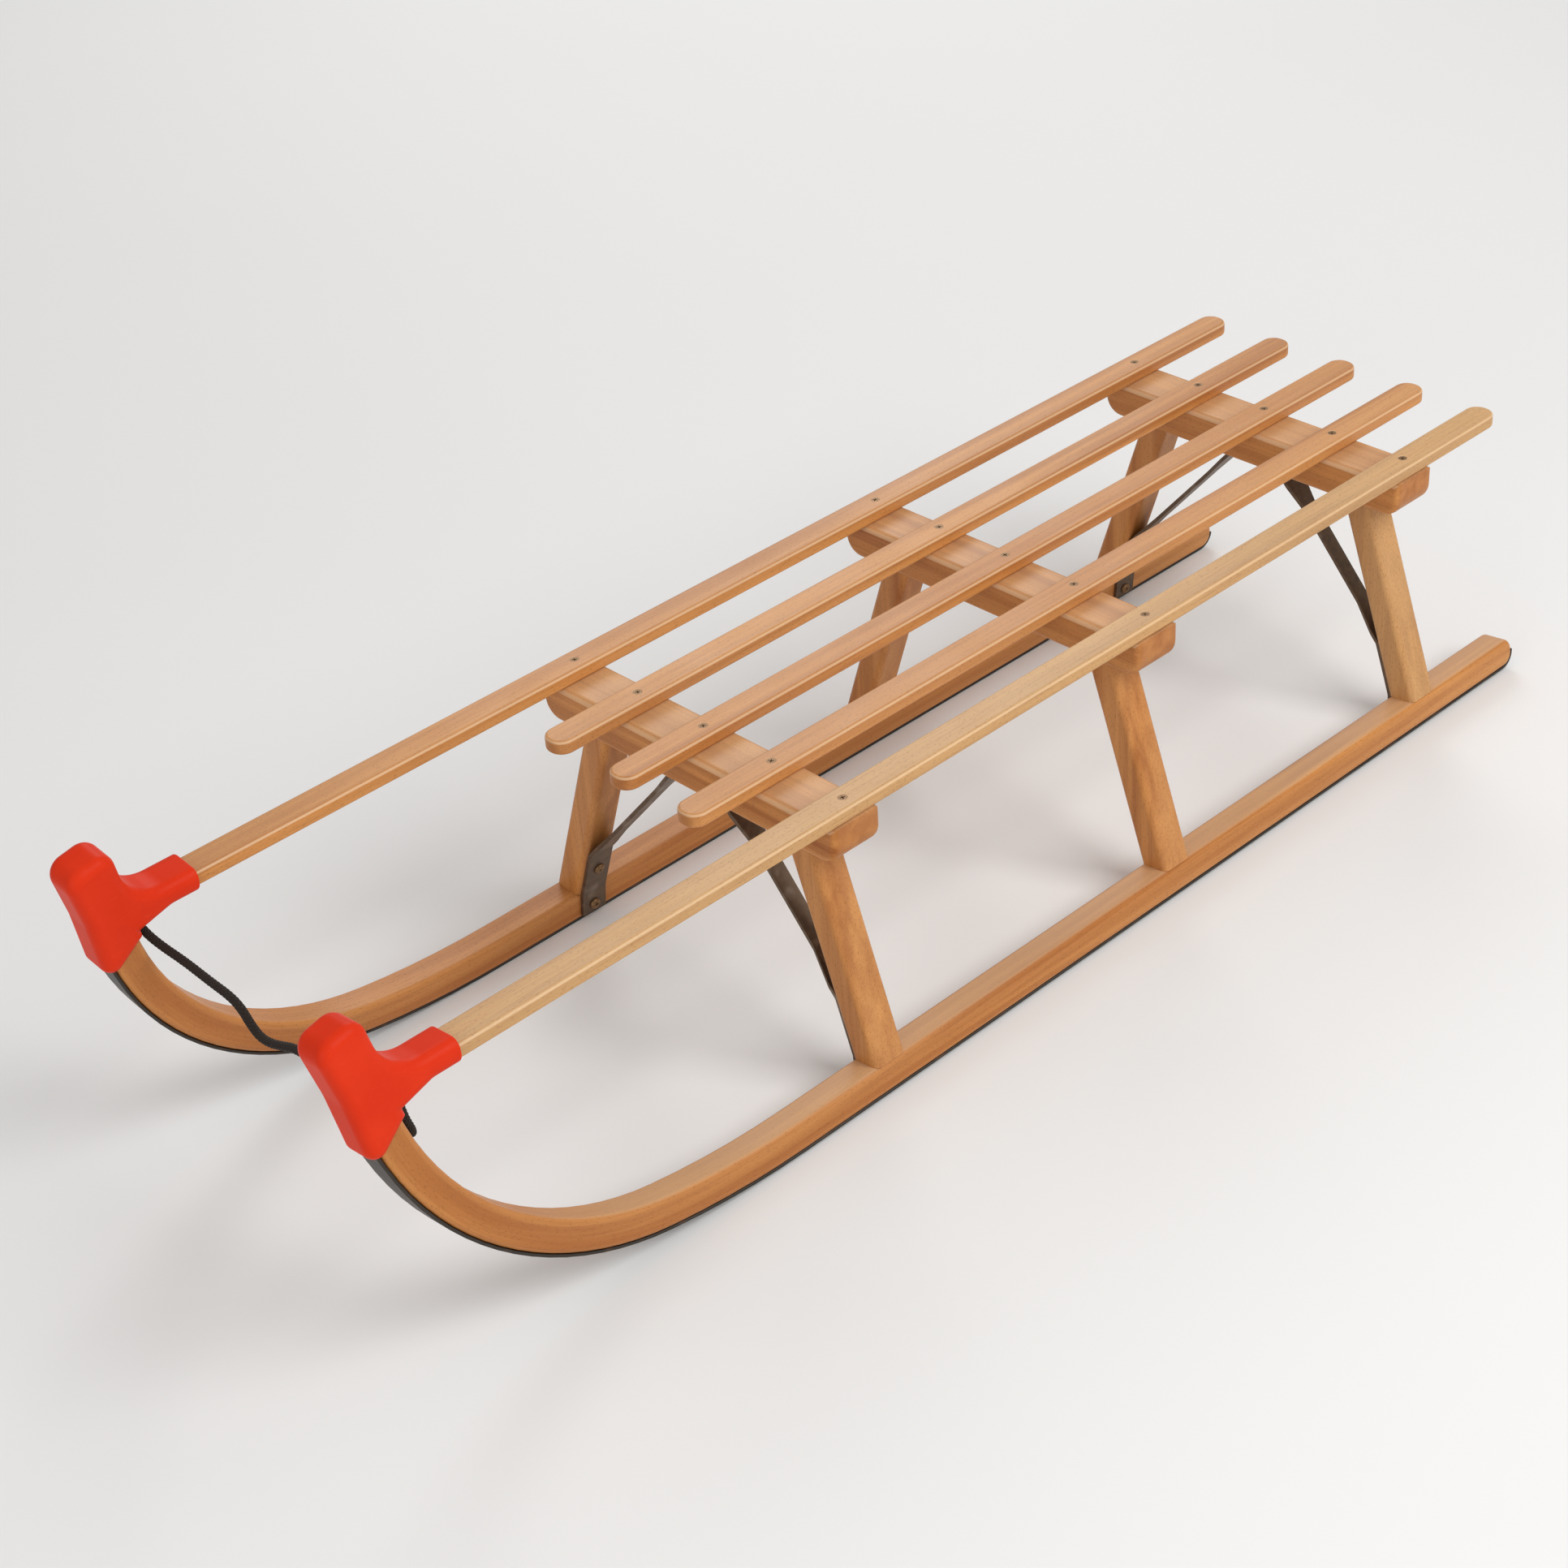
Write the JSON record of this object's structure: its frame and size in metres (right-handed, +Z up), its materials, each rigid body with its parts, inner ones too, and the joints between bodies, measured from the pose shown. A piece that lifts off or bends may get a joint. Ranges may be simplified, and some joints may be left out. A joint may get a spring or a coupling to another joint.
{
  "type": "davos sled",
  "caption": "Wooden davos sled with bent runners that rise into horns, splayed trestle legs under lengthwise seat slats, moulded tip caps, steel shoes and braces, and a pull cord.",
  "frame": {"origin": "on the snow line under the steel shoes, midway along and across the sled", "axes": "+X forward towards the horns, +Y to the sled's left, +Z up from the snow to the seat"},
  "size_m": [1.1994, 0.3514, 0.2911],
  "materials": {
    "beech": "clear satin lacquer",
    "cap_plastic": "moulded, satin gloss",
    "runner_steel": "dark rolled strip, polished by use on the sole",
    "brace_steel": "dark grey, half matt",
    "cord": "braided"
  },
  "bodies": {
    "root": {"cross_beam_front": "beech", "cross_beam_middle": "beech", "cross_beam_rear": "beech", "leg_front_left": "beech", "leg_front_right": "beech", "leg_middle_left": "beech", "leg_middle_right": "beech", "leg_rear_left": "beech", "leg_rear_right": "beech", "runner_left": "beech", "runner_right": "beech", "slat_centre": "beech", "slat_inner_left": "beech", "slat_inner_right": "beech", "slat_outer_left": "beech", "slat_outer_right": "beech", "runner_shoe_left": "runner_steel", "runner_shoe_right": "runner_steel", "brace_front": "brace_steel", "brace_rear": "brace_steel", "tip_cap_left": "cap_plastic", "tip_cap_right": "cap_plastic", "pull_cord": "cord"}
  },
  "joints": []
}
